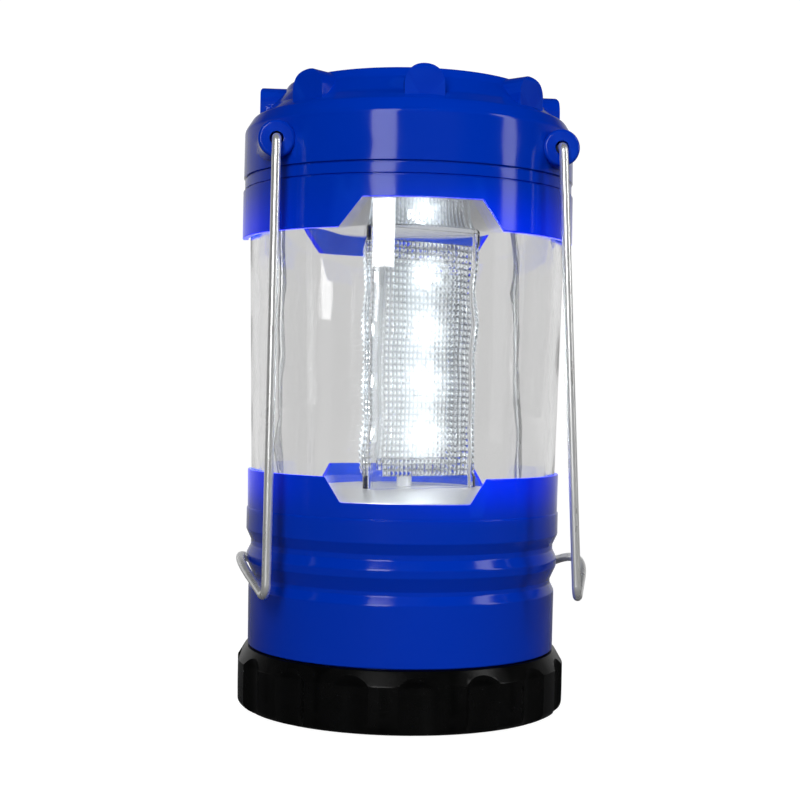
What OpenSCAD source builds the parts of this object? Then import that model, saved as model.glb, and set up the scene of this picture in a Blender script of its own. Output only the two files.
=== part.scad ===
// Camping lantern: notched blue cap and lower body around a clear globe, a triangular
// lens column with twelve lamps, two wire bails and a scalloped dimmer ring round the base.
// Millimetres, +Z up, origin at the centre of the underside, notched front towards -Y.

/* [Overall] */

// outside diameter of the black dimmer ring
base_od = 88; // [86.5:0.5:90]

// height of the cap's top rim above the table
total_h = 166; // [164:0.5:170]

/* [Lower body] */

// height of the joint between the black ring and the blue body
seam_z = 16.4; // [16:0.1:17]

// outside radius of the lower body's upper half and rim
body_r = 42.1; // [41.9:0.1:43]

// depth of the two grooves round the lower body
groove_depth = 1.3; // [0.6:0.1:1.5]

/* [Cap] */

// outside radius of the cap's skirt
cap_r = 44.5; // [44.4:0.1:45.5]

// number of half-round grip bumps round the top
bump_count = 8; // [6:1:10]

// width of each grip bump
bump_w = 10; // [8:0.5:11]

// outside diameter of the four ear bosses
ear_d = 9.4; // [8.6:0.1:10]

/* [Globe and lamps] */

// wall thickness of the clear globe
globe_wall = 2; // [1.5:0.1:2.2]

// radius from the axis to a corner of the lens column
lens_corner_r = 19.4; // [19:0.1:19.8]

// how far the lens column is turned about its axis
lens_turn = 28; // [0:0.5:30]

// height from one lamp to the next
lamp_pitch = 14.1; // [13:0.1:14.6]

/* [Bails] */

// diameter of the bail wire
wire_d = 2.3; // [1.8:0.1:2.6]

// outward lean of the left bail where it hangs
lean_left = 0.3; // [0:0.1:4]

// outward lean of the right bail where it hangs
lean_right = 2.8; // [0:0.1:4]

/* [Dimmer] */

// number of scallops round the dimmer ring
scallop_count = 16; // [12:1:18]

// depth of each scallop
scallop_depth = 1.9; // [1:0.1:2.1]

/* [Hidden] */

$fn = 96;

// tiers of the housing
deck_lo = 56.4;
deck_hi = 57.9;
floor_z = 59.2;
ceiling_z = 127.8;
skirt_z = 124.9;
globe_lo = 53.7;
globe_hi = 134.0;
globe_r_lo = 40.8;
globe_r_hi = 42.6;
rim_z = 63.4;
shelf_z = 134.6;

// notches in both rims: three, one of them facing the front
notch_count = 3;
body_notch_z = 57.1;
body_notch_lo = 16.1;
body_notch_hi = 20.1;
body_notch_turn = -4.2;
cap_notch_z = 132.3;
cap_notch_lo = 20.4;
cap_notch_hi = 14.9;

// bails and their ears
wire_r = wire_d / 2;
pivot_x = 36;
pivot_z = 147.3;
ear_face = 32;
ear_hole_r = 1.75;
leg_y = 33.8;
corner_z = 32.4;
bow = 14;

// cells: three standing upright, one of them upside down
cell_r = 7.25;
cell_l = 50.5;
cell_c = 9.2;
cell_z = 4.9;
cell_angles = [-90, 30, 150];
holder_r = 18;

// dimmer gears: an internal sector on the ring and a pinion on the potentiometer
gear_m = 1;
ring_teeth = 72;
pinion_teeth = 16;
pressure = 20;
ring_pitch_r = gear_m * ring_teeth / 2;
pinion_pitch_r = gear_m * pinion_teeth / 2;
pinion_c = ring_pitch_r - pinion_pitch_r;
gear_lo = 3.0;
gear_hi = 5.4;
board_screw_x = 11.5;
board_screw_y = 33.6;
scallop_turn = -10.2;
scallop_r = 8.5;
scallop_z = 11.8;

// housing pillars that the base plate is screwed to
pillar_c = 31;
pillar_angles = [45, 135, 225, 315];

// lamp column
face_angles = [0, 120, 240];
core_apothem = 6.2;
board_t = 1;
lens_round = 2.8;
lens_wall = 1.4;
lens_collar = 3;
core_lo = 66.5;
core_hi = 120.5;
stem_r = 2.0;
hub_r = 5;
hub_h = 5;
panel_w = 27;
lamp_z0 = 73.3;
lamps_per_board = 4;

blue = [0.02, 0.1, 0.62];
black = [0.05, 0.05, 0.055];
clear = [0.9, 0.93, 0.95, 0.35];
chrome = [0.86, 0.87, 0.88];
steel = [0.7, 0.71, 0.72];
white = [0.93, 0.93, 0.9];
pcb = [0.9, 0.92, 0.9];
copper = [0.78, 0.55, 0.3];
green = [0.05, 0.35, 0.18];

// ---------- helpers ----------

function unit(v) = v / norm(v);

function turn(p, q) = let (d = (q - p + 540) % 360 - 180) d;

// points of a rounded corner b between a and c
function corner(a, b, c, r, n) =
    let (u = unit(a - b), v = unit(c - b), h = acos(u * v) / 2)
    let (o = b + unit(u + v) * r / sin(h))
    let (p = b + u * r / tan(h) - o, q = b + v * r / tan(h) - o)
    let (s = atan2(p.y, p.x), e = turn(s, atan2(q.y, q.x)))
    [for (i = [0:n]) o + r * [cos(s + e * i / n), sin(s + e * i / n)]];

// polygon points given as [x, y, corner radius]
function soft(pts, n = 5) =
    let (m = len(pts), p = [for (t = pts) [t.x, t.y]])
    [for (i = [0:m - 1])
        each (pts[i].z > 0
            ? corner(p[(i + m - 1) % m], p[i], p[(i + 1) % m], pts[i].z, n)
            : [p[i]])];

// globe radius at a height
function globe_r(z) =
    globe_r_lo + (globe_r_hi - globe_r_lo) * (z - globe_lo) / (globe_hi - globe_lo);

function inv(a) = tan(a) * 180 / PI - a;

// half tooth angle of an involute gear at radius r
function half_tooth(r, teeth, extra) =
    let (pr = gear_m * teeth / 2, br = pr * cos(pressure))
    90 / teeth + extra + inv(pressure) - inv(acos(min(1, br / r)));

// outline of one tooth, pointing along +Y
function tooth(teeth, radii, extra) =
    let (n = len(radii) - 1)
    concat(
        [for (i = [0:n]) let (h = half_tooth(radii[i], teeth, extra))
            radii[i] * [sin(h), cos(h)]],
        [for (i = [n:-1:0]) let (h = half_tooth(radii[i], teeth, extra))
            radii[i] * [-sin(h), cos(h)]]);

module tube_at(r_out, r_in, z0, z1) {
    translate([0, 0, z0])
        difference() {
            cylinder(r = r_out, h = z1 - z0);
            translate([0, 0, -1])
                cylinder(r = r_in, h = z1 - z0 + 2);
        }
}

module rod(p, q, r) {
    d = q - p;
    b = acos(d.z / norm(d));
    c = atan2(d.y, d.x);
    translate(p)
        rotate([0, b, c])
            cylinder(r = r, h = norm(d), $fn = 48);
}

// a bend of radius br at vertex p of a wire, from vertex a to vertex b
module bend(a, p, b, br, r) {
    u = unit(p - a);
    v = unit(b - p);
    t = acos(u * v);
    s = p - u * br * tan(t / 2);
    o = p + unit(v - u) * br / cos(t / 2);
    x = unit(s - o);
    z = cross(x, u);
    multmatrix([[x.x, u.x, z.x, o.x], [x.y, u.y, z.y, o.y], [x.z, u.z, z.z, o.z],
                [0, 0, 0, 1]])
        rotate_extrude(angle = t, $fn = 48)
            translate([br, 0])
                circle(r = r, $fn = 48);
}

function trim(a, p, b, br) =
    let (t = acos(unit(p - a) * unit(b - p))) br * tan(t / 2);

// wire through points [x, y, z] with a bend radius at each inner one; each straight and
// bend are joined by a ball a hair larger than the wire
module wire(pts, radii, r) {
    n = len(pts) - 1;
    gap = 0.04;
    for (i = [0:n - 1]) {
        d = unit(pts[i + 1] - pts[i]);
        g = i == 0 ? 0 : gap + trim(pts[i - 1], pts[i], pts[i + 1], radii[i]);
        k = i == n - 1 ? 0 : gap + trim(pts[i], pts[i + 1], pts[i + 2], radii[i + 1]);
        rod(pts[i] + d * g, pts[i + 1] - d * k, r);
        if (i > 0)
            translate(pts[i] + d * (g - gap))
                sphere(r = r * 1.03, $fn = 64);
        if (i < n - 1)
            translate(pts[i + 1] - d * (k - gap))
                sphere(r = r * 1.03, $fn = 64);
    }
    for (i = [1:n - 1])
        bend(pts[i - 1], pts[i], pts[i + 1], radii[i], r);
}

module around(angles, dist, z = 0) {
    for (a = angles)
        rotate([0, 0, a])
            translate([dist, 0, z])
                children();
}

module countersunk(head_r, shaft_r, head_h, length) {
    cylinder(r1 = head_r, r2 = shaft_r, h = head_h, $fn = 48);
    cylinder(r = shaft_r, h = length, $fn = 48);
}

// cross recess cut in a screw head, facing down
module cross_recess(size, depth) {
    for (a = [0, 90])
        rotate([0, 0, a])
            translate([-size / 2, -size / 7, -1])
                cube([size, size / 3.5, depth + 1]);
}

// trapezoid opening through the front of a rim, repeated round it
module rim_notches(z0, z1, w0, w1, r, first = 0) {
    for (k = [0:notch_count - 1])
        rotate([0, 0, first + k * 360 / notch_count])
            rotate([90, 0, 0])
                translate([0, 0, 20])
                    linear_extrude(height = 40)
                        polygon(soft([[-w0, z0, z0 < z1 ? r : 0], [w0, z0, z0 < z1 ? r : 0],
                                      [w1, z1, z0 < z1 ? 0 : r], [-w1, z1, z0 < z1 ? 0 : r]]));
}

// ---------- housing ----------

module lower_body() {
    color(blue)
        difference() {
            union() {
                rotate_extrude($fn = 180)
                    polygon(soft([
                        [37.6, 5.8, 0], [39.6, 5.8, 0.4], [39.6, seam_z + 0.2, 0],
                        [41.2, seam_z + 0.2, 0.3], [41.3, 32.2, 1.2],
                        [41.4 - groove_depth * 0.9, 34.3, 0.9],
                        [41.4 - groove_depth * 0.9, 35.4, 0.7],
                        [body_r - 0.3, 38.9, 1.2], [body_r - 0.15, 40.9, 1.2],
                        [body_r - groove_depth, 43.2, 0.9],
                        [body_r - groove_depth, 44.6, 0.7], [body_r, 47.4, 0.9],
                        [body_r, 53.0, 0.1], [body_r - 0.25, 53.3, 0.1],
                        [body_r - 0.1, rim_z, 0.3], [globe_r(rim_z) + 0.15, rim_z, 0],
                        [globe_r(globe_lo) + 0.1, globe_lo - 0.6, 0],
                        [38.4, globe_lo - 0.6, 0], [38.4, deck_hi - 1.7, 0.2],
                        [30, deck_hi, 0], [0, deck_hi, 0], [0, deck_lo, 0],
                        [30, deck_lo, 0], [36.7, deck_lo - 1.4, 0],
                        [37.4, 50.5, 1], [39.1, 47, 1], [39.1, 20, 2], [37.6, 15.5, 1]]));
                around(pillar_angles, pillar_c, 2.75)
                    cylinder(r = 3.3, h = deck_lo - 2.25, $fn = 48);
                // ledges that carry the dimmer board
                for (s = [-1, 1])
                    translate([s * board_screw_x - 2.2, board_screw_y - 2.2, 15.8])
                        cube([4.4, 5.4, 6.4]);
            }
            rim_notches(body_notch_z, rim_z + 3, body_notch_lo,
                        body_notch_hi + 1.9, 0.7, body_notch_turn);
            around(pillar_angles, pillar_c, 2)
                cylinder(r = 1.3, h = 14, $fn = 48);
            translate([0, 0, 50])
                cylinder(r = 1.35, h = 10, $fn = 48);
            translate([0, 0, deck_lo - 0.01])
                cylinder(r1 = 2.55, r2 = 1.35, h = 1.2, $fn = 48);
            around([30, 150, 270], 22.5, 50)
                cylinder(r = 1.2, h = 7.2, $fn = 48);
            for (s = [-1, 1])
                translate([s * board_screw_x, board_screw_y, 15])
                    cylinder(r = 0.95, h = 4, $fn = 32);
            // trench and holes for the lamp leads
            translate([-1.3, 2.6, deck_lo + 0.4])
                cube([2.6, 20.7, 2]);
            translate([0, 22.2, 50])
                cylinder(r = 1.3, h = 10, $fn = 48);
        }
}

module floor_reflector() {
    color(chrome)
        difference() {
            rotate_extrude($fn = 180)
                polygon(soft([[0, deck_hi + 0.05, 0], [30, deck_hi + 0.05, 0],
                              [38, deck_hi - 1.4, 0], [38, floor_z - 2, 0.3],
                              [21, floor_z, 8], [0, floor_z, 0]]));
            translate([0, 0, 50])
                cylinder(r = 1.35, h = 15, $fn = 48);
            translate([0, 4, 50])
                cylinder(r = 1.3, h = 15, $fn = 48);
        }
}

module ceiling_reflector() {
    color(chrome)
        rotate_extrude($fn = 180)
            polygon(soft([[0, ceiling_z, 0], [20.6, ceiling_z, 8],
                          [globe_r(ceiling_z) - globe_wall - 0.4, ceiling_z + 4.7, 0.4],
                          [globe_r(globe_hi) - globe_wall - 0.5, globe_hi - 0.2, 0],
                          [globe_r(globe_hi) - globe_wall - 1.5, globe_hi - 0.2, 0],
                          [globe_r(ceiling_z) - globe_wall - 1.5, ceiling_z + 5.5, 0.2],
                          [20.4, ceiling_z + 1, 7], [hub_r, ceiling_z + 1, 0],
                          [hub_r, ceiling_z + hub_h, 0], [1.6, ceiling_z + hub_h, 0],
                          [1.6, ceiling_z + 1.6, 0], [0, ceiling_z + 1.6, 0]]));
}

module globe() {
    color(clear)
        rotate_extrude($fn = 180)
            polygon(soft([[globe_r_lo - globe_wall, globe_lo, 0.4], [globe_r_lo, globe_lo, 0.4],
                          [globe_r_hi, globe_hi, 0.4],
                          [globe_r_hi - globe_wall, globe_hi, 0.4]]));
}

module gasket_lower() {
    color(black)
        tube_at(globe_r_lo - 0.2, globe_r_lo - globe_wall + 0.2, globe_lo - 0.55, globe_lo - 0.05);
}

module gasket_upper() {
    color(black)
        tube_at(globe_r_hi - 0.3, globe_r_hi - globe_wall + 0.1, globe_hi + 0.05, shelf_z - 0.05);
}

module bump() {
    top = total_h - 0.3 - bump_w / 2;
    intersection() {
        translate([30, 0, 0])
            rotate([90, 0, 90])
                linear_extrude(height = 12) {
                    translate([-bump_w / 2, 150])
                        square([bump_w, top - 150]);
                    translate([0, top])
                        circle(r = bump_w / 2, $fn = 64);
                }
        // rounds the outer end over
        rotate([90, 0, 0])
            linear_extrude(height = bump_w + 4, center = true)
                polygon(soft([[29, 149, 0], [40.4, 149, 0], [40.4, total_h + 0.3, 2.4],
                              [29, total_h + 0.3, 0]]));
    }
}

module ear(sx, sy) {
    translate([sx * pivot_x, sy * ear_face, pivot_z])
        rotate([sy * 90, 0, 0])
            rotate_extrude($fn = 72)
                polygon(soft([[0, 0, 0], [ear_d / 2, 0, 0.9], [ear_d / 2 + 0.3, ear_face - 14, 0],
                              [0, ear_face - 14, 0]]));
}

module cap_shell_space() {
    rotate_extrude($fn = 180)
        polygon([[0, 100], [cap_r - 1.6, 100], [cap_r - 1.6, shelf_z], [40.2, shelf_z],
                 [40.2, 136.4], [42.1, 136.4], [42.1, 153.0], [36.2, 157.2],
                 [30.8, total_h - 3.6], [0, total_h - 3.6]]);
}

module cap() {
    color(blue)
        difference() {
            union() {
                difference() {
                    union() {
                        rotate_extrude($fn = 180)
                            polygon(soft([
                                [0, skirt_z, 0], [cap_r, skirt_z, 0.3], [cap_r, 137.5, 0.1],
                                [cap_r - 0.8, 137.7, 0], [cap_r - 0.8, 138.0, 0],
                                [cap_r - 0.4, 138.1, 0.1], [cap_r - 0.4, 140.6, 0.1],
                                [cap_r - 0.8, 140.7, 0], [cap_r - 0.8, 141.0, 0],
                                [cap_r - 0.1, 141.2, 0.1], [cap_r - 0.2, 153.4, 2.2],
                                [42.3, 156.6, 2], [38.4, 159.3, 5],
                                [34.3, 163.6, 4], [33.1, total_h, 0.9],
                                [30.4, total_h, 0.5], [29.6, total_h - 1.4, 0.3],
                                [0, total_h - 1.4, 0]]));
                        for (k = [0:bump_count - 1])
                            rotate([0, 0, k * 360 / bump_count - 90])
                                bump();
                        for (sx = [-1, 1], sy = [-1, 1])
                            ear(sx, sy);
                    }
                    cap_shell_space();
                }
                // post that carries the screw down to the hub of the ceiling reflector
                translate([0, 0, ceiling_z + hub_h + 0.05])
                    cylinder(r = 5.5, h = total_h - 3 - ceiling_z - hub_h - 0.05);
            }
            rim_notches(cap_notch_z, skirt_z - 3, cap_notch_hi, cap_notch_lo + 2.4, 0.7);
            for (sx = [-1, 1], sy = [-1, 1])
                translate([sx * pivot_x, sy * (ear_face + 1), pivot_z])
                    rotate([sy * 90, 0, 0])
                        cylinder(r = ear_hole_r, h = 12, $fn = 48);
            translate([0, 0, total_h - 2.9])
                cylinder(r = 13.1, h = 5);
            translate([0, 0, 100])
                cylinder(r = 1.9, h = 70, $fn = 48);
            translate([0, 0, total_h - 5.6])
                cylinder(r = 3.9, h = 5, $fn = 48);
        }
}

module cap_plug() {
    color(blue)
        rotate_extrude()
            polygon(soft([[0, total_h - 2.85, 0], [12.95, total_h - 2.85, 0],
                          [12.95, total_h - 1.0, 0.5], [11.6, total_h - 1.0, 0.2],
                          [11.2, total_h - 1.35, 0.2], [0, total_h - 1.35, 0]]));
}

module cap_screw() {
    color(steel)
        difference() {
            union() {
                translate([0, 0, total_h - 5.55])
                    cylinder(r = 3.4, h = 2.3, $fn = 48);
                translate([0, 0, ceiling_z + 2])
                    cylinder(r = 1.5, h = total_h - 5 - ceiling_z - 2, $fn = 48);
            }
            translate([0, 0, total_h - 3.25])
                mirror([0, 0, 1])
                    cross_recess(3.6, 1.2);
        }
}

// ---------- lamp column ----------

// equilateral prism outline with rounded corners, one flat facing -Y
module triangle_2d(corner_to, r) {
    polygon(soft([for (a = [-150, -30, 90])
        [(corner_to + r) * cos(a), (corner_to + r) * sin(a), r]], 8));
}

module lens_column() {
    face = (lens_corner_r + lens_round) / 2;
    color(clear)
        difference() {
            rotate([0, 0, lens_turn])
                union() {
                    translate([0, 0, floor_z + 0.1])
                        linear_extrude(height = ceiling_z - floor_z - 0.2)
                            triangle_2d(lens_corner_r, lens_round);
                    // plain collars at both ends
                    for (z = [floor_z + 0.1, ceiling_z - 0.1 - lens_collar])
                        translate([0, 0, z])
                            linear_extrude(height = lens_collar)
                                triangle_2d(lens_corner_r + 0.3, lens_round + 0.3);
                    // raised prismatic panels
                    for (a = face_angles)
                        rotate([0, 0, a])
                            translate([-panel_w / 2, -face - 0.3, floor_z + 0.2 + lens_collar])
                                cube([panel_w, 1, ceiling_z - floor_z - 0.4 - 2 * lens_collar]);
                }
            rotate([0, 0, lens_turn])
                translate([0, 0, floor_z - 1])
                    linear_extrude(height = ceiling_z - floor_z + 2)
                        triangle_2d(2 * (face - lens_wall) - 1.5, 1.5);
        }
}

// triangular carrier for the lamp boards, on a slim stem at each end
module led_core() {
    color(white)
        difference() {
            union() {
                translate([0, 0, floor_z + 0.05])
                    cylinder(r = stem_r, h = core_lo - floor_z + 1, $fn = 64);
                rotate([0, 0, lens_turn])
                    translate([0, 0, core_lo])
                        linear_extrude(height = core_hi - core_lo)
                            triangle_2d(core_apothem * 2 - 1.2, 1.2);
            }
            rotate([0, 0, lens_turn])
                translate([0, 0, core_lo + 5])
                    linear_extrude(height = core_hi - core_lo - 14)
                        triangle_2d(core_apothem * 2 - 6, 1);
            translate([0, 0, 50])
                cylinder(r = 1.25, h = 19, $fn = 48);
            translate([0, 4, core_lo - 1])
                cylinder(r = 1.3, h = 10, $fn = 48);
        }
}

module on_faces() {
    for (a = face_angles)
        rotate([0, 0, lens_turn + a])
            children();
}

module led_boards() {
    color(pcb)
        on_faces()
            translate([-5.4, -core_apothem - board_t - 0.02, core_lo + 0.5])
                cube([10.8, board_t, core_hi - core_lo - 1]);
}

module lamp_positions() {
    on_faces()
        for (k = [0:lamps_per_board - 1])
            translate([0, -core_apothem - board_t - 0.04, lamp_z0 + k * lamp_pitch])
                children();
}

module leds() {
    color(white)
        lamp_positions()
            difference() {
                translate([-2.3, -0.9, -2.3])
                    cube([4.6, 0.9, 4.6]);
                rotate([90, 0, 0])
                    translate([0, 0, 0.5])
                        cylinder(r = 1.75, h = 2, $fn = 48);
            }
}

module led_domes() {
    color([1, 0.97, 0.75])
        lamp_positions()
            rotate([90, 0, 0])
                translate([0, 0, 0.52])
                    intersection() {
                        cylinder(r = 1.68, h = 0.75, $fn = 48);
                        translate([0, 0, -1.9])
                            sphere(r = 2.6, $fn = 64);
                    }
}

module core_screw() {
    color(steel)
        translate([0, 0, deck_lo])
            difference() {
                countersunk(2.45, 1.2, 1.15, 11);
                cross_recess(2.4, 0.6);
            }
}

// ---------- power ----------

module battery_holder() {
    color(black)
        difference() {
            union() {
                translate([0, 0, 2.9])
                    cylinder(r = holder_r, h = deck_lo - 3.0);
                // lugs screwed to the deck
                around([30, 150, 270], 22.5, deck_lo - 3.1)
                    cylinder(r = 3.6, h = 3, $fn = 48);
                around([30, 150, 270], 16, deck_lo - 3.1)
                    translate([0, -3.6, 0])
                        cube([6.5, 7.2, 3]);
            }
            around(cell_angles, cell_c, 2)
                cylinder(r = cell_r + 0.25, h = cell_z + cell_l + 0.7 - 2, $fn = 96);
            around([30, 150, 270], 22.5, 50)
                cylinder(r = 1.35, h = 10, $fn = 48);
            translate([0, 0, -1])
                cylinder(r = 3.2, h = 7);
        }
}

module holder_screws() {
    color(steel)
        around([30, 150, 270], 22.5, deck_lo - 4.6)
            difference() {
                union() {
                    cylinder(r = 2.2, h = 1.45, $fn = 48);
                    cylinder(r = 1.1, h = 5.2, $fn = 48);
                }
                cross_recess(2.2, 0.7);
            }
}

// the first and third cells stand button up, the second button down
module cell_body(up) {
    z0 = up ? cell_z + 0.3 : cell_z + 1.5;
    translate([0, 0, z0])
        cylinder(r = cell_r - 0.05, h = cell_l - 1.8, $fn = 96);
}

module aa_cells() {
    color([0.75, 0.6, 0.15])
        for (i = [0:2])
            rotate([0, 0, cell_angles[i]])
                translate([cell_c, 0, 0])
                    cell_body(i != 1);
}

module cell_terminals() {
    color(steel)
        for (i = [0:2])
            rotate([0, 0, cell_angles[i]])
                translate([cell_c, 0, 0]) {
                    up = i != 1;
                    translate([0, 0, up ? cell_z : cell_z + cell_l - 0.25])
                        cylinder(r = 6.6, h = 0.25, $fn = 64);
                    translate([0, 0, up ? cell_z + cell_l - 1.45 : cell_z])
                        cylinder(r = 2.7, h = 1.45, $fn = 64);
                }
}

module top_contacts() {
    top = cell_z + cell_l + 0.05;
    color(copper) {
        // single plate on the first cell, bridge between the other two
        rotate([0, 0, cell_angles[0]])
            translate([cell_c, 0, top])
                cylinder(r = 4.5, h = 0.4, $fn = 64);
        for (a = [30, 150])
            rotate([0, 0, a])
                translate([cell_c, 0, top])
                    cylinder(r = 4.5, h = 0.4, $fn = 64);
    }
}

// strip that brings the lower end of the cells up to the dimmer board
module side_strip() {
    color(copper)
        rotate([0, 0, 115])
            translate([holder_r + 0.05, -1.5, 3])
                cube([0.4, 3, 45]);
}

module base_plate() {
    color(black)
        difference() {
            union() {
                rotate_extrude($fn = 180)
                    polygon(soft([[0, 0, 0], [38.4, 0, 0.8], [38.4, 2.65, 0.2], [0, 2.65, 0]]));
                translate([0, -26, 2.6])
                    cylinder(r = 3.4, h = 7.4, $fn = 48);
            }
            translate([0, 0, -1])
                cylinder(r = 19.5, h = 5);
            translate([0, 0, -1])
                cylinder(r = 22.4, h = 2.5);
            translate([0, -26, -1])
                cylinder(r = 5.4, h = 2.5, $fn = 72);
            translate([-5.4, -26, -1])
                cube([10.8, 8, 2.5]);
            translate([0, -26, 0])
                cylinder(r = 1.35, h = 9, $fn = 48);
            around(pillar_angles, pillar_c, -1)
                cylinder(r = 1.45, h = 5, $fn = 48);
            around(pillar_angles, pillar_c, -0.01)
                cylinder(r1 = 3.1, r2 = 1.45, h = 1.7, $fn = 48);
        }
}

module base_screws() {
    color(steel)
        around(pillar_angles, pillar_c, 0.15)
            difference() {
                countersunk(2.85, 1.2, 1.65, 12);
                cross_recess(2.8, 0.9);
            }
}

module battery_door() {
    color(black)
        difference() {
            union() {
                cylinder(r = 22.1, h = 1.45);
                translate([0, 0, 1.45])
                    cylinder(r = 19.2, h = 0.95);
                translate([0, -26, 0])
                    cylinder(r = 5.1, h = 1.45, $fn = 72);
                translate([-5.1, -26, 0])
                    cube([10.2, 8, 1.45]);
            }
            translate([0, -26, -1])
                cylinder(r = 1.45, h = 5, $fn = 48);
            translate([0, -26, -1])
                cylinder(r1 = 4.2, r2 = 1.45, h = 2.1, $fn = 48);
        }
}

module door_screw() {
    color(steel)
        translate([0, -26, 0.15])
            difference() {
                countersunk(2.6, 1.2, 1.15, 7.5);
                cross_recess(2.6, 0.8);
            }
}

module door_contacts() {
    color(copper)
        around(cell_angles, cell_c, 2.45)
            cylinder(r = 6, h = 0.35, $fn = 64);
}

// conical spring drawn as stacked rings joined by a riser
module door_springs() {
    color(steel)
        around(cell_angles, cell_c, 0)
            for (k = [0:2])
                translate([0, 0, 3.12 + k * 0.58])
                    rotate_extrude($fn = 64)
                        translate([4.6 - k * 0.45, 0])
                            circle(r = 0.3, $fn = 24);
}

// ---------- dimmer ----------

module dimmer_board() {
    color(green)
        difference() {
            intersection() {
                translate([-15, 21, 14.15])
                    cube([30, 20, 1.6]);
                cylinder(r = 36.9, h = 40);
            }
            for (s = [-1, 1])
                translate([s * board_screw_x, board_screw_y, 10])
                    cylinder(r = 1.2, h = 8, $fn = 32);
        }
}

module board_screws() {
    color(steel)
        for (s = [-1, 1])
            translate([s * board_screw_x, board_screw_y, 13.05])
                difference() {
                    union() {
                        cylinder(r = 1.6, h = 1.05, $fn = 48);
                        cylinder(r = 0.85, h = 5.2, $fn = 48);
                    }
                    cross_recess(1.8, 0.5);
                }
}

module board_parts() {
    color(black) {
        translate([-12.6, 26, 15.8])
            cube([5, 4, 1.6]);
        for (k = [0:2])
            translate([7 + k * 2.4, 25, 15.8])
                cube([1.3, 2.6, 0.6]);
        translate([5, 29.6, 15.8])
            cylinder(r = 1.9, h = 5, $fn = 48);
    }
}

module potentiometer() {
    color([0.2, 0.25, 0.3])
        difference() {
            union() {
                translate([-6, pinion_c - 6, 8.6])
                    cube([12, 12, 5.5]);
                translate([0, pinion_c, 6.6])
                    cylinder(r = 3.5, h = 2.2, $fn = 48);
            }
            translate([0, pinion_c, 6])
                cylinder(r = 2.05, h = 5, $fn = 48);
        }
}

module pot_gear() {
    color(white)
        translate([0, pinion_c, 0]) {
            translate([0, 0, gear_lo])
                linear_extrude(height = gear_hi - gear_lo) {
                    circle(r = 6.95, $fn = 72);
                    for (k = [0:pinion_teeth - 1])
                        rotate(k * 360 / pinion_teeth)
                            polygon(tooth(pinion_teeth, [6.6, 7.55, 7.9, 8.3, 8.85], -0.45));
                }
            translate([0, 0, gear_hi])
                cylinder(r = 3.2, h = 1, $fn = 48);
            translate([0, 0, gear_hi])
                cylinder(r = 2, h = 5.3, $fn = 48);
        }
}

module dimmer_ring() {
    // the toothed sector is long enough for the ring's whole travel
    first = -17;
    last = 4;
    color(black)
        difference() {
            rotate_extrude($fn = 180)
                polygon(soft([
                    [38.9, 0.5, 0.4], [base_od / 2 - 0.1, 0.5, 2.4], [base_od / 2, 6, 2],
                    [base_od / 2, 12.7, 0.8], [41.9, seam_z - 0.1, 0.4],
                    [39.66, seam_z - 0.1, 0], [39.66, gear_hi + 0.05, 0],
                    [35.2, gear_hi + 0.05, 0], [35.2, gear_lo, 0], [38.9, gear_lo, 0]]));
            for (k = [0:scallop_count - 1])
                rotate([0, 0, scallop_turn + (k + 0.5) * 360 / scallop_count - 90])
                    translate([base_od / 2 - scallop_depth + scallop_r, 0, 0]) {
                        translate([0, 0, -1])
                            cylinder(r = scallop_r, h = scallop_z + 1, $fn = 96);
                        translate([0, 0, scallop_z])
                            sphere(r = scallop_r, $fn = 96);
                    }
            for (k = [first:last])
                rotate([0, 0, k * 360 / ring_teeth])
                    translate([0, 0, gear_lo - 1])
                        linear_extrude(height = gear_hi - gear_lo + 2)
                            polygon(tooth(ring_teeth, [34.8, 35.5, 36, 36.6, 37.3], 0.12));
        }
}

module battery_leads() {
    color([0.7, 0.05, 0.05])
        wire([[8, 16.4, 50], [8, 23, 50], [8, 23, 15.9]], [0, 2, 0], 0.6);
    color(black)
        wire([[-7.6, 17.5, 45], [-7.6, 23, 45], [-7.6, 23, 15.9]], [0, 2, 0], 0.6);
}

module lamp_leads() {
    for (s = [-1, 1])
        color(s < 0 ? black : [0.7, 0.05, 0.05])
            wire([[s * 0.65, 22.2, 15.9], [s * 0.65, 22.2, 57.35], [s * 0.65, 4, 57.35],
                  [s * 0.65, 4, 74]], [0, 0.9, 0.9, 0], 0.45);
}

// ---------- bails ----------

// left bail hanging straight down, its pivot at the origin
module bail_shape() {
    drop = pivot_z - corner_z;
    color(steel)
        wire([[0, -ear_face + 8, 0], [0, -leg_y, 0], [0, -leg_y, -drop],
              [-bow / sqrt(2), 0, -drop + bow / sqrt(2)], [0, leg_y, -drop], [0, leg_y, 0],
              [0, ear_face - 8, 0]], [0, 1.6, 3, 50, 3, 1.6, 0], wire_r);
}

module bail_left() {
    translate([-pivot_x, 0, pivot_z])
        rotate([0, lean_left, 0])
            bail_shape();
}

module bail_right() {
    mirror([1, 0, 0])
        translate([-pivot_x, 0, pivot_z])
            rotate([0, lean_right, 0])
                bail_shape();
}

lower_body();
cap();
cap_plug();
cap_screw();
ceiling_reflector();
floor_reflector();
globe();
gasket_lower();
gasket_upper();
lens_column();
led_core();
led_boards();
leds();
led_domes();
core_screw();
battery_holder();
holder_screws();
aa_cells();
cell_terminals();
top_contacts();
side_strip();
base_plate();
base_screws();
dimmer_board();
board_screws();
board_parts();
potentiometer();
battery_leads();
lamp_leads();
dimmer_ring();
pot_gear();
battery_door();
door_screw();
door_contacts();
door_springs();
bail_left();
bail_right();
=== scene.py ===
import math
import random

import bpy
import bmesh
from mathutils import Matrix, Vector
from mathutils.geometry import tessellate_polygon


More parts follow.
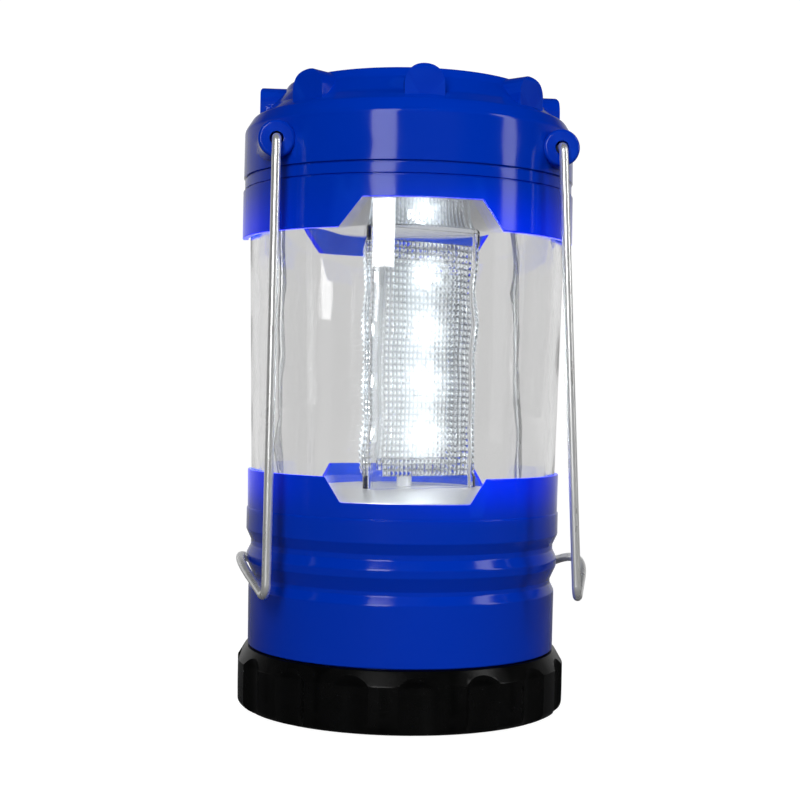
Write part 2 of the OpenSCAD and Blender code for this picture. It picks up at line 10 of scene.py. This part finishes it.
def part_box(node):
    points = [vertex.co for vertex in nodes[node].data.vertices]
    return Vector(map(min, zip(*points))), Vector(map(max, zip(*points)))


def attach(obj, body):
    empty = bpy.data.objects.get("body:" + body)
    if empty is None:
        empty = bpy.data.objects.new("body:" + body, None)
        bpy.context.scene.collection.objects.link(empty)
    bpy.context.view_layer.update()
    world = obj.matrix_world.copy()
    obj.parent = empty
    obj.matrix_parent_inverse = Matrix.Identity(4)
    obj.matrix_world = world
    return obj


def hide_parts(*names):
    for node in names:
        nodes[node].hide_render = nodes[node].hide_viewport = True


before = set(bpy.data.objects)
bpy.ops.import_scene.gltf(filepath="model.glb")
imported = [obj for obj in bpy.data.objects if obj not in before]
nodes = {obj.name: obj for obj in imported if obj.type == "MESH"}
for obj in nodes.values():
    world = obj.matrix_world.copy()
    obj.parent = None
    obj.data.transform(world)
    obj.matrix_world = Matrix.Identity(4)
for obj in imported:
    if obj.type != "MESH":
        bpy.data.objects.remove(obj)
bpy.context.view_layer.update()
random.seed(7)
scene = bpy.context.scene
MM = 0.001

# Camera: distance from the lantern's axis, height, turn to the left of the front, aim, roll and lens
CAM_DIST = 414.4 * MM
CAM_HEIGHT = 84.8 * MM
CAM_AZIMUTH = math.radians(5.2)
CAM_PITCH = math.radians(-0.32)
CAM_YAW = math.radians(0.16)
CAM_ROLL = math.radians(1.07)
CAM_LENS = 68.58
CAM_SENSOR = 36.0

# Studio: where the lights aim, and the brightness of the backdrop seen directly, through clear plastic
# in front of and behind the lantern, and mirrored
LIGHT_AIM = Vector((0, 0, 90 * MM))
SEEN_WHITE = 0.97
THROUGH_FRONT = 0.25
THROUGH_BACK = 0.86
REFLECTED_BACK = 0.55
# The backdrop dims between these heights: metres up the paper, and the height of a view direction
PAPER_DIMS = (0.4, 1.1)
WORLD_DIMS = (0.2, 0.5)

# Lamp light in the blue plastic: on cut edges, on faces turned to the lamps, and fading along each rim
EDGE_GLOW = 1.1
INNER_GLOW = 0.36
SKIRT_GLOW = 0.55
SKIRT_GLOW_TALL = 14 * MM
SKIRT_NOTCH = 8.5 * MM
RIM_GLOW = 0.65
RIM_GLOW_TALL = 13 * MM
RIM_NOTCH = 7.5 * MM

# Lens column: a rounded triangle with a wall, collars at both ends and a panel of pyramids on each flat
SIDES = 3
LENS_TURN = math.radians(28)
LENS_CORNER = 19.4 * MM
LENS_ROUND = 2.8 * MM
LENS_FACE = (LENS_CORNER + LENS_ROUND) / 2
LENS_WALL = 1.4 * MM
BORE_ROUND = 1.5 * MM
CORNER_STEPS = 8
COLLAR_OUT = 0.3 * MM
COLLAR_TALL = 3.0 * MM
PANEL_WIDE = 27.2 * MM
PANEL_GAP = 0.25 * MM
PYRAMIDS_ACROSS = 21
PYRAMIDS_UP = 38
PYRAMID_TALL = 0.48 * MM
PYRAMID_UNEVEN = 0.03

# Lamps behind each panel: their brightness, the light that they scatter in it, and the sparkle of its tips
LAMP_COUNT = 4
LAMP_DOME = 3.36 * MM
LAMP_BRIGHT = (420.0, 520.0)
LAMP_GLOW = 1.2
LAMP_SPREAD = 5.2 * MM
GLINT = 0.6

# Softened edges of the carried-over pieces
EDGE_ANGLE = math.radians(30)
EDGE_STEPS = 3
WELD_GAP = 0.002 * MM
BEVELED = {"cap": 0.6 * MM, "lower_body": 0.22 * MM, "dimmer_ring": 0.25 * MM}
SMOOTHED = ("bail_left", "bail_right", "globe", "floor_reflector", "ceiling_reflector", "cap_plug",
            "led_domes", "base_plate", "battery_door")


# ---------- node helpers ----------

def feed(tree, socket, value):
    """Links another node's output to a socket or sets a plain value, a colour with an alpha of 1."""
    if isinstance(value, bpy.types.NodeSocket):
        tree.links.new(value, socket)
    elif socket.type == "RGBA":
        socket.default_value = (*value, 1.0)
    else:
        socket.default_value = value


def object_place(tree):
    return tree.nodes.new("ShaderNodeTexCoord").outputs["Object"]


def separate(tree, vec):
    n = tree.nodes.new("ShaderNodeSeparateXYZ")
    feed(tree, n.inputs[0], vec)
    return n.outputs


def noise(tree, vec, scale, detail=3.0):
    n = tree.nodes.new("ShaderNodeTexNoise")
    n.inputs["Scale"].default_value = scale
    n.inputs["Detail"].default_value = detail
    n.inputs["Roughness"].default_value = 0.5
    feed(tree, n.inputs["Vector"], vec)
    return n.outputs["Fac"]


def remap(tree, value, lo, hi, out_lo, out_hi, kind="LINEAR"):
    """Carries the range lo to hi over to out_lo to out_hi, without going past its ends."""
    n = tree.nodes.new("ShaderNodeMapRange")
    n.interpolation_type = kind
    feed(tree, n.inputs["Value"], value)
    n.inputs["From Min"].default_value = lo
    n.inputs["From Max"].default_value = hi
    n.inputs["To Min"].default_value = out_lo
    n.inputs["To Max"].default_value = out_hi
    return n.outputs["Result"]


def math_node(tree, op, *values):
    n = tree.nodes.new("ShaderNodeMath")
    n.operation = op
    for socket, value in zip(n.inputs, values):
        feed(tree, socket, value)
    return n.outputs[0]


def times(tree, a, b):
    return math_node(tree, "MULTIPLY", a, b)


def add_all(tree, parts):
    total = parts[0]
    for part in parts[1:]:
        total = math_node(tree, "ADD", total, part)
    return total


def vector_node(tree, op, *values):
    n = tree.nodes.new("ShaderNodeVectorMath")
    n.operation = op
    for socket, value in zip(n.inputs, values):
        feed(tree, socket, value)
    return n.outputs["Value" if op == "DOT_PRODUCT" else "Vector"]


def mix_color(tree, fac, a, b):
    n = tree.nodes.new("ShaderNodeMix")
    n.data_type = "RGBA"
    for index, value in ((0, fac), (6, a), (7, b)):
        feed(tree, n.inputs[index], value)
    return n.outputs[2]


def mix_value(tree, fac, a, b):
    n = tree.nodes.new("ShaderNodeMix")
    for index, value in ((0, fac), (2, a), (3, b)):
        feed(tree, n.inputs[index], value)
    return n.outputs[0]


def within(tree, value, a, b):
    """1 between the two levels, 0 outside them."""
    return math_node(tree, "COMPARE", value, (a + b) / 2, abs(a - b) / 2)


def principled(mat):
    return next(n for n in mat.node_tree.nodes if n.type == "BSDF_PRINCIPLED")


# ---------- surfaces ----------

def material(name, color, dark=None, rough=(0.25, 0.4), metal=0.0, patch=60.0, bump=0.05, grain=900.0,
             ior=1.5, gloss=0.5, stretch=None, wear=0.0, worn=(0.0, 0.0, 0.0)):
    """A procedural surface: two tones in soft patches, uneven roughness, fine bumps and optional edge wear.

    patch and grain are the noise scales of the tones and of the bumps."""
    mat = bpy.data.materials.new(name)
    mat.use_nodes = True
    t = mat.node_tree
    bsdf = principled(mat)
    place = object_place(t)
    if stretch:
        mapping = t.nodes.new("ShaderNodeMapping")
        mapping.inputs["Scale"].default_value = stretch
        feed(t, mapping.inputs["Vector"], place)
        place = mapping.outputs[0]
    base = mix_color(t, noise(t, place, patch), dark or tuple(c * 0.82 for c in color), color)
    if wear:
        pointed = t.nodes.new("ShaderNodeNewGeometry").outputs["Pointiness"]
        on_edges = times(t, remap(t, pointed, 0.52, 0.60, 0.0, wear), noise(t, place, patch * 6))
        base = mix_color(t, on_edges, base, worn)
    height = t.nodes.new("ShaderNodeBump")
    height.inputs["Strength"].default_value = bump
    height.inputs["Distance"].default_value = 0.4 * MM
    feed(t, height.inputs["Height"], noise(t, place, grain, 5.0))
    feed(t, bsdf.inputs["Normal"], height.outputs[0])
    feed(t, bsdf.inputs["Base Color"], base)
    feed(t, bsdf.inputs["Roughness"], remap(t, noise(t, place, patch * 2.3, 4.0), 0.3, 0.7, *rough))
    bsdf.inputs["Metallic"].default_value = metal
    bsdf.inputs["IOR"].default_value = ior
    bsdf.inputs["Specular IOR Level"].default_value = gloss
    return mat


def clear_material(name, tint, rough, ior):
    """Clear plastic that lets the lamps' light through to what is behind it."""
    mat = material(name, tint, tuple(c * 0.985 for c in tint), (rough, rough * 1.8),
                   patch=30.0, bump=0.0, ior=ior)
    bsdf = principled(mat)
    bsdf.inputs["Transmission Weight"].default_value = 1.0
    t = mat.node_tree
    out = next(n for n in t.nodes if n.type == "OUTPUT_MATERIAL")
    through = t.nodes.new("ShaderNodeBsdfTransparent")
    feed(t, through.inputs[0], tuple(c ** 0.5 for c in tint))
    mix = t.nodes.new("ShaderNodeMixShader")
    feed(t, mix.inputs[0], t.nodes.new("ShaderNodeLightPath").outputs["Is Shadow Ray"])
    feed(t, mix.inputs[1], bsdf.outputs[0])
    feed(t, mix.inputs[2], through.outputs[0])
    feed(t, out.inputs[0], mix.outputs[0])
    return mat


def rim_glow(mat, bands):
    """Lamp light leaking through thin plastic near a rim.

    A band is the rim's height, the height where the glow ends, its strength and the depth of the notches.
    It fades away from the rim and is strongest in front of the lamp boards. Cut edges glow brightest, and
    faces turned to the lamps are a paler blue."""
    t = mat.node_tree
    place = object_place(t)
    x, y, z = separate(t, place)
    outward = vector_node(t, "NORMALIZE", vector_node(t, "MULTIPLY", place, (1.0, 1.0, 0.0)))
    facing = vector_node(t, "DOT_PRODUCT", outward, place.node.outputs["Normal"])
    edge = remap(t, math_node(t, "ABSOLUTE", facing), 0.25, 0.9, 1.0, 0.0)
    inward = remap(t, facing, -1.0, -0.5, 1.0, 0.0)
    round_axis = math_node(t, "ARCTAN2", x, times(t, y, -1.0))
    wave = math_node(t, "COSINE", times(t, math_node(t, "SUBTRACT", round_axis, LENS_TURN), SIDES))
    near_board = remap(t, wave, -1.0, 1.0, 0.12, 1.0)
    lit = math_node(t, "ADD", times(t, edge, EDGE_GLOW), times(t, inward, INNER_GLOW))
    parts = []
    for rim, end, strength, notch in bands:
        way = math.copysign(1.0, end - rim)
        fade = times(t, remap(t, z, rim, end, 1.0, 0.0, "SMOOTHSTEP"), within(t, z, rim, end))
        parts.append(times(t, times(t, fade, near_board), strength))
        parts.append(times(t, lit, within(t, z, rim - way * MM, rim + way * notch)))
    patchy = remap(t, noise(t, place, 45.0), 0.3, 0.7, 0.7, 1.15)
    bsdf = principled(mat)
    feed(t, bsdf.inputs["Emission Color"], mix_color(t, inward, (0.0, 0.004, 1.0), (0.03, 0.13, 1.0)))
    feed(t, bsdf.inputs["Emission Strength"], times(t, add_all(t, parts), patchy))


def blue_plastic():
    mat = material("blue_gloss", (0.0, 0.034, 0.48), (0.0, 0.029, 0.43), (0.09, 0.16), patch=24.0,
                   bump=0.012, grain=420.0, ior=1.46, gloss=0.22, wear=0.25, worn=(0.01, 0.09, 0.70))
    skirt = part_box("cap")[0].z
    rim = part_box("lower_body")[1].z
    rim_glow(mat, [(skirt, skirt + SKIRT_GLOW_TALL, SKIRT_GLOW, SKIRT_NOTCH),
                   (rim, rim - RIM_GLOW_TALL, RIM_GLOW, RIM_NOTCH)])
    return mat


def lamp_phosphor():
    mat = material("lamp_phosphor", (1.0, 0.95, 0.75), (0.95, 0.88, 0.6), (0.2, 0.3), patch=200.0,
                   bump=0.02, grain=2000.0)
    t = mat.node_tree
    bsdf = principled(mat)
    uneven = noise(t, object_place(t), 400.0)
    feed(t, bsdf.inputs["Emission Color"], (0.90, 0.96, 1.0))
    feed(t, bsdf.inputs["Emission Strength"], remap(t, uneven, 0.3, 0.7, *LAMP_BRIGHT))
    return mat


def dress(mat, *names):
    for name in names:
        ob = nodes[name]
        ob.data.materials.clear()
        ob.data.materials.append(mat)


def dress_outside():
    dress(blue_plastic(), "cap", "lower_body", "cap_plug")
    dress(material("ring_black", (0.0016, 0.0018, 0.0017), (0.0009, 0.001, 0.001), (0.20, 0.30), patch=40.0,
                   bump=0.03, grain=1400.0, gloss=0.1, wear=0.4, worn=(0.008, 0.008, 0.008)),
          "dimmer_ring")
    dress(material("base_black", (0.006, 0.006, 0.006), (0.003, 0.003, 0.003), (0.4, 0.6), patch=50.0,
                   bump=0.12, grain=1800.0, wear=0.4, worn=(0.06, 0.06, 0.06)),
          "base_plate", "battery_door", "battery_holder")
    dress(clear_material("globe_clear", (0.87, 0.87, 0.87), 0.012, 1.59), "globe")
    dress(material("bail_wire", (0.95, 0.96, 0.95), (0.84, 0.85, 0.85), (0.25, 0.34), metal=0.72, patch=300.0,
                   bump=0.003, grain=2200.0, stretch=(1, 1, 0.12)),
          "bail_left", "bail_right")


def dress_lamp_space():
    dress(material("mirror_coat", (0.90, 0.91, 0.93), (0.84, 0.85, 0.87), (0.06, 0.12), metal=1.0,
                   patch=30.0, bump=0.010, grain=260.0),
          "ceiling_reflector")
    dress(material("mirror_floor", (0.94, 0.95, 0.97), (0.88, 0.89, 0.91), (0.28, 0.40), metal=0.8,
                   patch=30.0, bump=0.015, grain=260.0),
          "floor_reflector")
    dress(material("seal_rubber", (0.02, 0.02, 0.02), rough=(0.6, 0.8), patch=80.0, bump=0.2, grain=1200.0),
          "gasket_lower", "gasket_upper")
    dress(material("white_plastic", (0.82, 0.82, 0.80), (0.74, 0.74, 0.71), (0.35, 0.5)),
          "led_core", "leds", "pot_gear")
    dress(material("white_board", (0.85, 0.87, 0.86), (0.78, 0.8, 0.79), (0.3, 0.45), patch=90.0,
                   bump=0.08, grain=1500.0),
          "led_boards")
    dress(lamp_phosphor(), "led_domes")


def dress_inside():
    dress(material("screw_steel", (0.55, 0.55, 0.56), (0.42, 0.42, 0.43), (0.25, 0.42), metal=1.0,
                   patch=400.0, bump=0.08, grain=3000.0),
          "cap_screw", "core_screw", "holder_screws", "base_screws", "board_screws", "door_screw")
    dress(material("cell_jacket", (0.42, 0.30, 0.06), (0.3, 0.2, 0.03), metal=0.3, patch=80.0, bump=0.04),
          "aa_cells")
    dress(material("terminal_steel", (0.6, 0.6, 0.6), rough=(0.2, 0.35), metal=1.0, patch=200.0,
                   grain=2000.0),
          "cell_terminals", "door_springs")
    dress(material("contact_brass", (0.72, 0.52, 0.25), rough=(0.2, 0.38), metal=1.0, patch=160.0,
                   bump=0.06, grain=1800.0),
          "top_contacts", "side_strip", "door_contacts")
    dress(material("green_board", (0.02, 0.16, 0.07), rough=(0.3, 0.5), patch=120.0, bump=0.1, grain=1500.0),
          "dimmer_board")
    dress(material("part_plastic", (0.03, 0.035, 0.045), rough=(0.4, 0.6), patch=120.0, bump=0.1,
                   grain=1500.0),
          "board_parts", "potentiometer")
    dress(material("lead_cover", (0.3, 0.02, 0.02), rough=(0.4, 0.55), patch=150.0, bump=0.1, grain=1500.0),
          "battery_leads", "lamp_leads")


def soften(ob, bevel=0.0):
    """Smooth shading that keeps the sharp edges, with an optional small bevel on them."""
    mesh = ob.data
    mesh.polygons.foreach_set("use_smooth", [True] * len(mesh.polygons))
    ob.modifiers.new("weld", "WELD").merge_threshold = WELD_GAP
    if bevel:
        edges = ob.modifiers.new("edges", "BEVEL")
        edges.width = bevel
        edges.segments = EDGE_STEPS
        edges.limit_method = "ANGLE"
        edges.angle_limit = EDGE_ANGLE
        edges.harden_normals = True
        edges.miter_outer = "MITER_ARC"
    ob.modifiers.new("normals", "WEIGHTED_NORMAL").keep_sharp = True


# ---------- lens column ----------

def prism_outline(flat, r):
    """Rounded triangle: its flats are this far from the axis, and its corners are arcs of radius r."""
    points = []
    for k in range(SIDES):
        middle = LENS_TURN + math.radians(-150 + 120 * k)
        centre = Vector((math.cos(middle), math.sin(middle))) * 2 * (flat - r)
        for j in range(CORNER_STEPS + 1):
            a = middle + math.radians(-60 + 120 * j / CORNER_STEPS)
            points.append(centre + Vector((math.cos(a), math.sin(a))) * r)
    return points


def prism_walls(bm, z0, z1):
    """Outer wall with collars, and the bore. The flats stay open between the two rings that it returns."""
    outer = prism_outline(LENS_FACE, LENS_ROUND)
    collar = prism_outline(LENS_FACE + COLLAR_OUT, LENS_ROUND + COLLAR_OUT)
    bore = prism_outline(LENS_FACE - LENS_WALL, BORE_ROUND)
    levels = ((collar, z0), (collar, z0 + COLLAR_TALL), (outer, z0 + COLLAR_TALL),
              (outer, z1 - COLLAR_TALL), (collar, z1 - COLLAR_TALL), (collar, z1), (bore, z0), (bore, z1))
    loops = [[bm.verts.new((p.x, p.y, z)) for p in outline] for outline, z in levels]
    *rings, bore_low, bore_high = loops
    low, high = rings[2], rings[3]
    count = len(outer)
    for a, b in zip(rings, rings[1:]):
        for i in range(count):
            j = (i + 1) % count
            on_flat = i % (CORNER_STEPS + 1) == CORNER_STEPS
            if not (a is low and on_flat):
                bm.faces.new((a[i], a[j], b[j], b[i]))
    for i in range(count):
        j = (i + 1) % count
        bm.faces.new((bore_low[j], bore_low[i], bore_high[i], bore_high[j]))
        bm.faces.new((rings[0][j], rings[0][i], bore_low[i], bore_low[j]))
        bm.faces.new((rings[-1][i], rings[-1][j], bore_high[j], bore_high[i]))
    return low, high


def pyramid_panel(bm, corners):
    """Rows of slightly uneven pyramids in the middle of one flat, joined to the flat's four corners."""
    along = (corners[1].co - corners[0].co).normalized()
    normal = Vector((along.y, -along.x, 0))
    centre = (corners[0].co + corners[2].co) / 2
    panel_tall = corners[2].co.z - corners[0].co.z - 2 * PANEL_GAP
    wide = PANEL_WIDE / PYRAMIDS_ACROSS
    tall = panel_tall / PYRAMIDS_UP

    def spot(column, row, out=0.0):
        place = centre + along * (column * wide - PANEL_WIDE / 2) + normal * out
        place.z += row * tall - panel_tall / 2
        return bm.verts.new(place)

    grid = [[spot(c, r) for c in range(PYRAMIDS_ACROSS + 1)] for r in range(PYRAMIDS_UP + 1)]
    for r in range(PYRAMIDS_UP):
        for c in range(PYRAMIDS_ACROSS):
            uneven = 1.0 + random.uniform(-PYRAMID_UNEVEN, PYRAMID_UNEVEN)
            tip = spot(c + 0.5, r + 0.5, PYRAMID_TALL * uneven)
            foot = (grid[r][c], grid[r][c + 1], grid[r + 1][c + 1], grid[r + 1][c])
            for a, b in zip(foot, foot[1:] + foot[:1]):
                bm.faces.new((a, b, tip)).material_index = 1
    rim = grid[0] + [row[-1] for row in grid[1:]] + grid[-1][-2::-1] + [row[0] for row in grid[-2:0:-1]]
    loops = [[Vector(((v.co - centre) @ along, v.co.z, 0)) for v in loop] for loop in (corners, rim)]
    verts = corners + rim
    for triangle in tessellate_polygon(loops):
        a, b, c = (verts[k] for k in triangle)
        if (b.co - a.co).cross(c.co - a.co) @ normal < 0:
            a, c = c, a
        bm.faces.new((a, b, c))


def lamp_glow(mat, first_z, pitch):
    """Light scattered by the panels, painted on as glow: a bright patch in front of each lamp, painted glints
    on the pyramid tips, and painted shade that tints the grooves darker.
    """
    t = mat.node_tree
    x, y, z = separate(t, object_place(t))
    # squared distance from the middle line of the flat, whichever of the three it is
    aside = math_node(t, "SUBTRACT", math_node(t, "ADD", times(t, x, x), times(t, y, y)), LENS_FACE ** 2)
    patches = []
    for k in range(LAMP_COUNT):
        away = math_node(t, "SUBTRACT", z, first_z + k * pitch)
        reach = math_node(t, "DIVIDE", math_node(t, "ADD", times(t, away, away), aside), LAMP_SPREAD ** 2)
        patches.append(math_node(t, "EXPONENT", times(t, reach, -1.0)))
    sparkle = remap(t, noise(t, object_place(t), 620.0, 2.0), 0.35, 0.65, 0.45 * LAMP_GLOW, 1.4 * LAMP_GLOW)
    # height on a pyramid, 0 in the grooves and 1 at the tip
    out = None
    for k in range(SIDES):
        a = LENS_TURN + math.radians(-90 + 120 * k)
        side = math_node(t, "ADD", times(t, x, math.cos(a)), times(t, y, math.sin(a)))
        out = side if out is None else math_node(t, "MAXIMUM", out, side)
    tip = remap(t, out, LENS_FACE, LENS_FACE + PYRAMID_TALL, 0.0, 1.0)
    # painted shade: the clear plastic is tinted grey in the grooves between the pyramids and near white at
    # their tips
    tint = mix_color(t, remap(t, tip, 0.0, 0.5, 0.0, 1.0), (0.50, 0.53, 0.57), (0.97, 0.985, 1.0))
    # painted glint: emission on each pyramid tip stands in for the lamp light that it catches
    glint = times(t, remap(t, tip, 0.55, 0.95, 0.0, 1.0), GLINT)
    bsdf = principled(mat)
    feed(t, bsdf.inputs["Base Color"], tint)
    feed(t, bsdf.inputs["Emission Color"], (0.86, 0.95, 1.0))
    feed(t, bsdf.inputs["Emission Strength"],
         math_node(t, "ADD", times(t, add_all(t, patches), sparkle), glint))


def make_lens():
    """Hollow clear prism with collars and a panel of pyramids on each flat, in place of the plain column."""
    bottom, top = (corner.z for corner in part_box("lens_column"))
    bm = bmesh.new()
    low, high = prism_walls(bm, bottom, top)
    for side in range(SIDES):
        i = CORNER_STEPS + side * (CORNER_STEPS + 1)
        j = (i + 1) % len(low)
        pyramid_panel(bm, [low[i], low[j], high[j], high[i]])
    bmesh.ops.recalc_face_normals(bm, faces=bm.faces)
    mesh = bpy.data.meshes.new("prism_lens")
    bm.to_mesh(mesh)
    bm.free()
    ob = bpy.data.objects.new("prism_lens", mesh)
    scene.collection.objects.link(ob)
    mesh.materials.append(clear_material("lens_clear", (0.97, 0.985, 1.0), 0.01, 1.49))
    panel = clear_material("lens_panel", (0.96, 0.98, 1.0), 0.03, 1.49)
    lowest, highest = (corner.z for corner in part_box("led_domes"))
    lamp_glow(panel, lowest + LAMP_DOME / 2, (highest - lowest - LAMP_DOME) / (LAMP_COUNT - 1))
    mesh.materials.append(panel)
    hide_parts("lens_column")
    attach(ob, "housing")


# ---------- studio ----------

def behind_lantern(tree, place, low, high):
    """0 in front of the lantern and 1 well behind it, fading out between the two heights."""
    _, y, z = separate(tree, place)
    return times(tree, remap(tree, y, 0.0, 0.8, 0.0, 1.0), remap(tree, z, low, high, 1.0, 0.0))


def backdrop_light(tree, behind):
    """Brightness of the backdrop: white to the camera, greyer through clear plastic and in reflections.

    It is darker where behind is 0, so that the front doesn't haze the gloss."""
    path = tree.nodes.new("ShaderNodeLightPath").outputs
    mirrored = remap(tree, behind, 0.0, 1.0, 0.0, REFLECTED_BACK)
    through = remap(tree, behind, 0.0, 1.0, THROUGH_FRONT, THROUGH_BACK)
    unseen = mix_value(tree, path["Is Transmission Ray"], mirrored, through)
    return mix_value(tree, path["Is Camera Ray"], unseen, SEEN_WHITE)


def studio_paper():
    mat = bpy.data.materials.new("studio_paper")
    mat.use_nodes = True
    t = mat.node_tree
    bsdf = principled(mat)
    place = object_place(t)
    grey = mix_color(t, noise(t, place, 3.0), (0.15, 0.15, 0.15), (0.18, 0.18, 0.18))
    feed(t, bsdf.inputs["Base Color"], grey)
    bsdf.inputs["Roughness"].default_value = 0.9
    bsdf.inputs["Specular IOR Level"].default_value = 0.1
    feed(t, bsdf.inputs["Emission Color"], (1.0, 1.0, 1.0))
    feed(t, bsdf.inputs["Emission Strength"], backdrop_light(t, behind_lantern(t, place, *PAPER_DIMS)))
    return mat


def make_stage():
    """A sweep of paper: the floor curves up into a wall behind the lantern."""
    front, depth, width, height = -2.0, 1.6, 4.0, 2.4
    bend, steps = 0.6, 10
    profile = [(front, 0.0)]
    for k in range(steps + 1):
        a = k * math.pi / 2 / steps
        profile.append((depth - bend + bend * math.sin(a), bend - bend * math.cos(a)))
    profile.append((depth, height))
    bm = bmesh.new()
    rows = [[bm.verts.new((x, y, z)) for x in (-width / 2, width / 2)] for y, z in profile]
    for a, b in zip(rows, rows[1:]):
        bm.faces.new((a[0], a[1], b[1], b[0])).smooth = True
    mesh = bpy.data.meshes.new("studio_sweep")
    bm.to_mesh(mesh)
    bm.free()
    sweep = bpy.data.objects.new("studio_sweep", mesh)
    scene.collection.objects.link(sweep)
    mesh.materials.append(studio_paper())


def area_light(name, azimuth, dist, z, size_x, size_y, radiance, gloss=True):
    """A soft rectangular light aimed at the lantern, with a given brightness of its face.

    azimuth is in degrees to the right of the camera. Without gloss no surface mirrors the light."""
    data = bpy.data.lights.new(name, "AREA")
    data.shape = "RECTANGLE"
    data.size = size_x
    data.size_y = size_y
    data.energy = radiance * math.pi * size_x * size_y
    ob = bpy.data.objects.new(name, data)
    scene.collection.objects.link(ob)
    a = math.radians(azimuth) - CAM_AZIMUTH
    ob.location = (math.sin(a) * dist, -math.cos(a) * dist, z)
    ob.rotation_euler = (LIGHT_AIM - ob.location).to_track_quat("-Z", "Y").to_euler()
    ob.visible_glossy = gloss
    ob.visible_transmission = gloss
    ob.visible_camera = False


def make_lights():
    area_light("softbox_left", -16.5, 1.2, 0.59, 0.37, 0.92, 9.5)
    area_light("softbox_left_low", -17, 1.2, 0.10, 0.34, 0.24, 0.5)
    area_light("softbox_right", 71, 1.1, 0.58, 0.24, 0.80, 6.5)
    area_light("softbox_right_low", 71, 1.1, 0.08, 0.24, 0.24, 0.4)
    area_light("top_soft", 11, 1.3, 1.55, 0.5, 0.4, 6.0, gloss=False)
    area_light("fill_front", 16, 1.6, 0.5, 1.2, 1.0, 1.2, gloss=False)


def make_world():
    world = bpy.data.worlds.new("world")
    world.use_nodes = True
    t = world.node_tree
    background = next(n for n in t.nodes if n.type == "BACKGROUND")
    direction = t.nodes.new("ShaderNodeTexCoord").outputs["Generated"]
    feed(t, background.inputs["Color"], (1.0, 1.0, 1.0))
    feed(t, background.inputs["Strength"], backdrop_light(t, behind_lantern(t, direction, *WORLD_DIMS)))
    scene.world = world
    scene.view_settings.view_transform = "Standard"


def make_camera():
    data = bpy.data.cameras.new("camera")
    data.lens = CAM_LENS
    data.sensor_width = CAM_SENSOR
    data.clip_start = 0.01
    data.clip_end = 20.0
    cam = bpy.data.objects.new("camera", data)
    scene.collection.objects.link(cam)
    cam.matrix_world = (
        Matrix.Rotation(-CAM_AZIMUTH, 4, "Z")
        @ Matrix.Translation((0, -CAM_DIST, CAM_HEIGHT))
        @ Matrix.Rotation(CAM_YAW, 4, "Z")
        @ Matrix.Rotation(math.radians(90) + CAM_PITCH, 4, "X")
        @ Matrix.Rotation(CAM_ROLL, 4, "Z")
    )
    scene.camera = cam


make_camera()
make_stage()
make_lights()
make_world()
dress_outside()
dress_lamp_space()
dress_inside()
make_lens()
for name, bevel in BEVELED.items():
    soften(nodes[name], bevel)
for name in SMOOTHED:
    soften(nodes[name])
